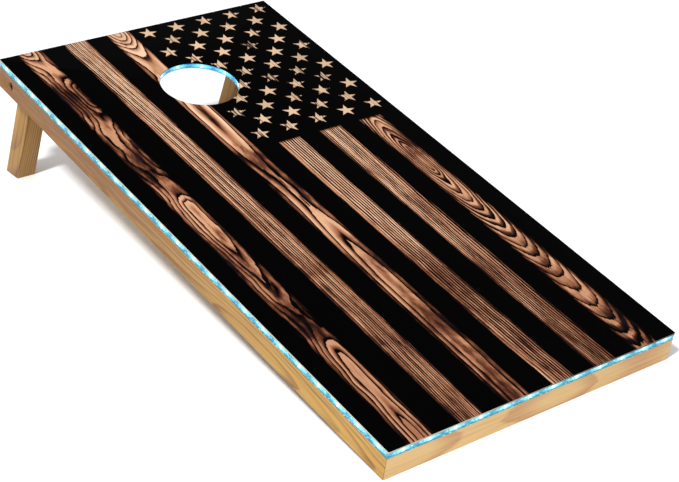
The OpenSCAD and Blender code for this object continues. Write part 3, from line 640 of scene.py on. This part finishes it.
def lit_ring_tape(name):
    """The hole's tape: the same, laid out by angle round the hole."""
    g = Graph(name)
    x, y, z = g.coordinates()
    step = 2 * math.pi / len(HOLE_CHIPS)
    first = math.atan2(HOLE_CHIPS[0][1] - HOLE_Y, HOLE_CHIPS[0][0])
    angle = g.math("ARCTAN2", y - HOLE_Y, x)
    off = (angle - first).repeat(step) * HOLE_TAPE_R
    drop = z - float(HOLE_CHIPS[0][2])
    halo = (off * off * 0.06 + drop * drop).sqrt().smooth(0.0082, 0.0010)
    streak = g.noise(g.vector(angle * 22, z * 700, 0.0), 1, 3, 0.6)
    speck = g.noise(g.vector(x * 900, y * 900, z * 900), 1, 2, 0.6)
    glow_colours(g, halo, streak.smooth(0.36, 0.66), (0, 104, 186), (130, 232, 252))
    colour = g.mix(speck, (30, 80, 120), (20, 60, 100))
    return g.finish(colour, (0.35 + speck * 0.2).clamp(), specular_ior_level=0.2)


def clear_sleeve(name):
    """Soft clear silicone, hazy with the light inside it, and never quite straight."""
    g = Graph(name)
    x, y, z = g.coordinates()
    ripple = g.noise(g.vector(x * 60, y * 60, z * 420), 1, 3, 0.55)
    streak = g.noise(g.vector(x * 150, y * 150, z * 1100), 1, 3, 0.6)
    dust = g.noise(g.vector(x * 1400, y * 1400, z * 1400), 1, 2, 0.6)
    g.bump(ripple + streak * 0.5 + dust * 0.2, 0.35, 0.0005)
    shine = streak.smooth(0.52, 0.70)
    g.put(g.shader.inputs["Emission Color"], g.mix(shine, (10, 134, 170), (190, 244, 252)))
    g.put(g.shader.inputs["Emission Strength"], 0.55 + shine * 0.9)
    g.put(g.shader.inputs["Alpha"], (0.16 + ripple * 0.22 + shine * 0.30 + dust * 0.04).clamp())
    colour = g.mix(dust, (60, 138, 160), (40, 110, 136))
    return g.finish(colour, (0.22 + dust * 0.2).clamp(), specular_ior_level=0.3)


def lit_chip(name):
    g = Graph(name)
    x, y, z = g.coordinates()
    speck = g.noise(g.vector(x * 1500, y * 1500, z * 1500), 1, 2, 0.6)
    g.put(g.shader.inputs["Emission Color"], g.mix(speck.smooth(0.3, 0.7), (150, 240, 255), (240, 254, 255)))
    g.put(g.shader.inputs["Emission Strength"], 2.2 + speck * 1.5)
    return g.finish((225, 240, 246), (0.3 + speck * 0.2).clamp())


def cell_wrap(name):
    """A battery cell: a dark sleeve with a gold band at its positive end."""
    g = Graph(name)
    x, y, z = g.coordinates()
    low, high = islands("battery_cells")[0]
    end = float(high[1])
    start = float(low[1])
    band = ((y - start) / (end - start)).smooth(0.30, 0.31)
    spot = g.noise(g.vector(x * 300, y * 300, z * 300), 1, 3, 0.6)
    g.bump(spot, 0.05, 0.0002)
    colour = g.mix(band, g.mix(spot, (196, 142, 66), (170, 116, 48)), g.mix(spot, (34, 36, 40), (22, 23, 26)))
    return g.finish(colour, (0.25 + spot * 0.2).clamp(), coat_weight=0.4)


def circuit(name):
    """Green solder mask with traces and tinned pads."""
    g = Graph(name)
    x, y, z = g.coordinates()
    trace = abs(x.repeat(0.0016)).smooth(0.0003, 0.0002)
    trace = trace * (g.noise(g.vector(x * 200, y * 60, 0.0), 1, 2, 0.5) > 0.5)
    near, pick = g.cells(g.vector(x * 380, y * 380, 0.0), 1)
    pad = near.smooth(0.28, 0.22) * (pick > 0.7)
    speck = g.noise(g.vector(x * 800, y * 800, z * 800), 1, 2, 0.6)
    colour = g.mix(trace * 0.5, g.mix(speck, (16, 84, 52), (10, 66, 40)), (40, 128, 80))
    g.bump(trace + pad, 0.1, 0.0003)
    return g.finish(g.mix(pad, colour, (196, 200, 202)), (0.35 + speck * 0.2).clamp())


# ---------------------------------------------------------------- meshes


def new_piece(name, mesh, material, body, stands_for=()):
    piece = bpy.data.objects.new(name, mesh)
    bpy.context.scene.collection.objects.link(piece)
    mesh.materials.clear()
    mesh.materials.append(material)
    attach(piece, body)
    if stands_for:
        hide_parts(*stands_for)
    return piece


def eased(node, name, material, body, slot, width=0.0008, shortest=0.008, segments=2):
    """A CAD piece with its long sharp edges eased, as sandpaper leaves them."""
    mesh = frame["nodes"][node].data.copy()
    mesh.name = name
    bm = bmesh.new()
    bm.from_mesh(mesh)
    bmesh.ops.remove_doubles(bm, verts=bm.verts, dist=0.000005)
    bmesh.ops.dissolve_limit(bm, angle_limit=math.radians(0.5), verts=bm.verts, edges=bm.edges)
    sharp = [e for e in bm.edges if len(e.link_faces) == 2 and e.calc_length() > shortest
             and e.calc_face_angle(0) > math.radians(35)]
    bmesh.ops.bevel(bm, geom=sharp, offset=width, segments=segments, profile=0.5, affect="EDGES",
                    clamp_overlap=False)
    bmesh.ops.triangulate(bm, faces=[f for f in bm.faces if len(f.verts) > 4])
    bm.normal_update()
    for f in bm.faces:
        f.smooth = abs(f.normal.dot(DECK_NORMAL)) < SQUARE
    bm.to_mesh(mesh)
    bm.free()
    mesh.set_sharp_from_angle(angle=math.radians(30))
    return new_piece(name, mesh, material, body, (node,))


def smooth_by_angle(degrees):
    """A modifier's nodes that shade smooth across shallow edges, and leave the mesh itself as it is."""
    group = bpy.data.node_groups.new("smooth_by_angle", "GeometryNodeTree")
    for way in ("INPUT", "OUTPUT"):
        group.interface.new_socket("Geometry", in_out=way, socket_type="NodeSocketGeometry")
    start = group.nodes.new("NodeGroupInput")
    end = group.nodes.new("NodeGroupOutput")
    angle = group.nodes.new("GeometryNodeInputMeshEdgeAngle")
    shallow = group.nodes.new("FunctionNodeCompare")
    shallow.data_type = "FLOAT"
    shallow.operation = "LESS_THAN"
    shallow.inputs["B"].default_value = math.radians(degrees)
    faces = group.nodes.new("GeometryNodeSetShadeSmooth")
    faces.domain = "FACE"
    edges = group.nodes.new("GeometryNodeSetShadeSmooth")
    edges.domain = "EDGE"
    group.links.new(angle.outputs["Unsigned Angle"], shallow.inputs["A"])
    group.links.new(start.outputs[0], faces.inputs["Geometry"])
    group.links.new(faces.outputs[0], edges.inputs["Geometry"])
    group.links.new(shallow.outputs[0], edges.inputs["Shade Smooth"])
    group.links.new(edges.outputs[0], end.inputs[0])
    return group


SMOOTH = smooth_by_angle(30)


def shaded(node, material):
    """Gives a CAD node its material through its object's slots, smooth where it is round."""
    o = frame["nodes"][node]
    for slot in o.material_slots:
        slot.material = material
    o.modifiers.new("smooth_by_angle", "NODES").node_group = SMOOTH


def chip_lenses(material):
    """The round phosphor window in the face of each chip: a low dome on a shallow rim."""
    bm = bmesh.new()
    sides = 20
    profile = [(0.0021, 0.00004), (0.0019, 0.00008), (0.0013, 0.00012), (0.0, 0.00014)]

    def dome(centre, out, across):
        up = out.cross(across)
        rings = []
        for radius, lift in profile[:-1]:
            ring = []
            for k in range(sides):
                a = 2 * math.pi * k / sides
                p = centre + out * lift + (across * math.cos(a) + up * math.sin(a)) * radius
                ring.append(bm.verts.new(TO_ROW @ p))
            rings.append(ring)
        top = bm.verts.new(TO_ROW @ (centre + out * profile[-1][1]))
        base = bm.verts.new(TO_ROW @ centre)
        for a, b in zip(rings, rings[1:]):
            for k in range(sides):
                bm.faces.new((a[k], a[(k + 1) % sides], b[(k + 1) % sides], b[k]))
        for k in range(sides):
            bm.faces.new((rings[-1][k], rings[-1][(k + 1) % sides], top))
            bm.faces.new((rings[0][(k + 1) % sides], rings[0][k], base))

    for low, high in islands("edge_chips"):
        centre = Vector((low + high) / 2)
        size = high - low
        thin = int(np.argmin(size))
        out = Vector((0, 0, 0))
        half = DECK_W / 2 if thin == 0 else DECK_L / 2
        from_middle = centre[thin] - (0 if thin == 0 else DECK_L / 2)
        out[thin] = math.copysign(1, from_middle) if half else 0
        dome(centre + out * float(size[thin]) / 2, out, Vector((0, 0, 1)).cross(out))
    for low, high in islands("hole_chips_ring"):
        centre = Vector((low + high) / 2)
        inward = Vector((-centre.x, HOLE_Y - centre.y, 0)).normalized()
        away = math.hypot(centre.x, centre.y - HOLE_Y)
        face_r = HOLE_TAPE_R - 0.0004 - 0.0015
        dome(centre + inward * (away - face_r + 0.00006), inward, Vector((0, 0, 1)).cross(inward))
    bmesh.ops.recalc_face_normals(bm, faces=bm.faces)
    for f in bm.faces:
        f.smooth = True
    mesh = bpy.data.meshes.new("chip_lenses")
    bm.to_mesh(mesh)
    bm.free()
    return new_piece("chip_lenses", mesh, material, "board")


# ---------------------------------------------------------------- the pieces

LEG_PIVOT = Vector(JOINTS["left_leg_fold"]["pos_m"])
LEG_LEAN = math.radians(JOINTS["left_leg_fold"]["range_deg"][1] - 90)
RAIL_LIGHT = (232, 196, 136)
RAIL_DARK = (190, 134, 74)

wood = {
    "front_rail": pine("pine_front", (216, 182, 122), (174, 120, 76), axis="x", pith=(-0.16, -0.034),
                       ring=0.0062, seed=3.1, knots=0.25),
    "back_rail": pine("pine_back", RAIL_LIGHT, RAIL_DARK, axis="x", pith=(1.27, -0.075), ring=0.005, seed=8.4,
                      knots=0.12),
    # The left rail carries painted shade that darkens it towards the back.
    "left_rail": pine("pine_left", (186, 146, 70), (122, 78, 28), axis="y", pith=(-0.345, -0.052),
                      ring=0.0046, seed=5.7, knots=0.08, painted_shade=0.75),
    "right_rail": pine("pine_right", RAIL_LIGHT, RAIL_DARK, axis="y", pith=(0.36, -0.02), ring=0.0048,
                       seed=1.9, knots=0.12),
    "cross_brace": pine("pine_brace", (236, 204, 150), (198, 150, 96), axis="x", pith=(0.62, -0.06),
                        ring=0.0055, seed=6.6, knots=0.2),
}
for node, material in wood.items():
    eased(node, node + "_eased", material, "board", "pine_block" if node == "cross_brace" else "pine_rail")

block_wood = pine("pine_block", (234, 202, 148), (196, 148, 92), axis="z", pith=(0.05, 0.03), ring=0.0044,
                  seed=2.4)
for node in ("corner_block_left", "corner_block_right", "pivot_block_left", "pivot_block_right"):
    eased(node, node + "_eased", block_wood, "board", "pine_block")

for side, pith in (("left", (-0.272, 0.020)), ("right", (0.235, 0.024))):
    leg_wood = pine("pine_leg_" + side, (172, 130, 58), (98, 54, 22), origin=LEG_PIVOT, turn=TILT + LEG_LEAN,
                    axis="z", pith=pith, ring=0.0050, seed=4.2 if side == "left" else 9.3)
    eased("leg_" + side, f"leg_{side}_eased", leg_wood, side + "_leg", "pine_leg", 0.0003, 0.0)

eased("deck_panel", "deck_panel_eased", burnt_print("burnt_print"), "board", "deck_print", 0.0004, 0.05)

sleeve = clear_sleeve("clear_sleeve")
for side in ("front", "back", "left", "right"):
    shaded("sleeve_" + side, sleeve)
shaded("hole_sleeve", sleeve)

half_w = DECK_W / 2
firsts = {
    "front": min(c[0] for c in CHIPS if c[1] < 0.01),
    "back": max(c[0] for c in CHIPS if c[1] > DECK_L - 0.01),
    "left": min(c[1] for c in CHIPS if c[0] < 0.01 - half_w),
    "right": min(c[1] for c in CHIPS if c[0] > half_w - 0.01),
}
for side, first in firsts.items():
    shaded("tape_" + side, lit_tape("lit_tape_" + side, side in ("front", "back"), float(first)))
shaded("hole_tape", lit_ring_tape("lit_tape_hole"))
chip = lit_chip("lit_chip")
shaded("edge_chips", chip)
shaded("hole_chips_ring", chip)
chip_lenses(chip)
shaded("edge_resistors", plastic("resistor", (238, 240, 238), (206, 210, 210), 0.4))

oxide = black_oxide("black_oxide")
zinc = metal("bright_zinc", (206, 209, 214), (150, 154, 160), 0.24)
gold_zinc = metal("yellow_zinc", (206, 168, 92), (158, 118, 54), 0.3)
shaded("pivot_bolt_left", oxide)
shaded("pivot_bolt_right", oxide)
for node in ("pivot_washers", "lock_nuts", "box_screws", "plate_screws"):
    shaded(node, zinc)
for node in ("deck_screws", "corner_screws", "pivot_block_screws", "pocket_screws"):
    shaded(node, gold_zinc)

box_plastic = plastic("box_plastic", (30, 31, 34), (44, 45, 49), 0.48)
for node in ("battery_box", "control_plate"):
    eased(node, node + "_eased", box_plastic, "board", "box_plastic", 0.0005, 0.009)
eased("battery_cover", "battery_cover_eased", plastic("door_plastic", (34, 35, 38), (50, 51, 56), 0.5),
      "battery_door", "box_plastic", 0.0004, 0.009)
shaded("battery_cells", cell_wrap("cell_wrap"))
nickel = metal("nickel", (214, 212, 206), (176, 174, 168), 0.2)
shaded("contact_springs", nickel)
shaded("contact_plates", nickel)
shaded("control_board", circuit("circuit"))
shaded("tact_switch", plastic("switch_plastic", (24, 24, 26), (40, 40, 43), 0.45))
shaded("power_button", plastic("button_plastic", (196, 201, 206), (170, 176, 182), 0.38, coat_weight=0.3))
lead_jacket = plastic("lead_jacket", (226, 229, 231), (196, 200, 204), 0.45)
shaded("edge_lead", lead_jacket)
shaded("hole_lead", lead_jacket)
shaded("lead_clips", plastic("clip_plastic", (232, 232, 228), (206, 206, 200), 0.4))

# ---------------------------------------------------------------- the stage

floor_mesh = bpy.data.meshes.new("floor")
reach = 40.0
floor_mesh.from_pydata([(-reach, -reach, 0), (reach, -reach, 0), (reach, reach, 0), (-reach, reach, 0)], [],
                       [(0, 1, 2, 3)])
floor = bpy.data.objects.new("floor", floor_mesh)
floor.location.z = -0.0005
bpy.context.scene.collection.objects.link(floor)
pale = Graph("pale_floor")
floor_mesh.materials.append(pale.finish((250, 251, 253), 0.9))
pale.shader.inputs["Specular IOR Level"].default_value = 0.1

world = bpy.data.worlds.new("studio")
bpy.context.scene.world = world
world.use_nodes = True
world.node_tree.nodes["Background"].inputs["Color"].default_value = (1, 1, 1, 1)
world.node_tree.nodes["Background"].inputs["Strength"].default_value = 0.62


def soft_light(name, towards, distance, size, power, colour=(1, 1, 1)):
    """A round soft light in the direction given, turned to the board's middle."""
    lamp = bpy.data.lights.new(name, "AREA")
    lamp.shape = "DISK"
    lamp.size = size
    lamp.energy = power
    lamp.color = colour
    o = bpy.data.objects.new(name, lamp)
    direction = Vector(towards).normalized()
    o.location = direction * distance
    o.rotation_euler = (-direction).to_track_quat("-Z", "Y").to_euler()
    bpy.context.scene.collection.objects.link(o)


soft_light("key", (-0.60, -0.34, 0.85), 9.0, 1.0, 760)

camera_data = bpy.data.cameras.new("camera")
camera_data.lens = 90.81
camera_data.sensor_width = 36
camera_data.clip_end = 200
camera = bpy.data.objects.new("camera", camera_data)
camera.location = ORIGIN + Vector((-1.65134, -1.58806, 1.44058))
camera.rotation_euler = Euler([math.radians(a) for a in (62.267, -1.741, -37.101)], "XYZ")
bpy.context.scene.collection.objects.link(camera)
bpy.context.scene.camera = camera
bpy.context.scene.view_settings.view_transform = "Standard"
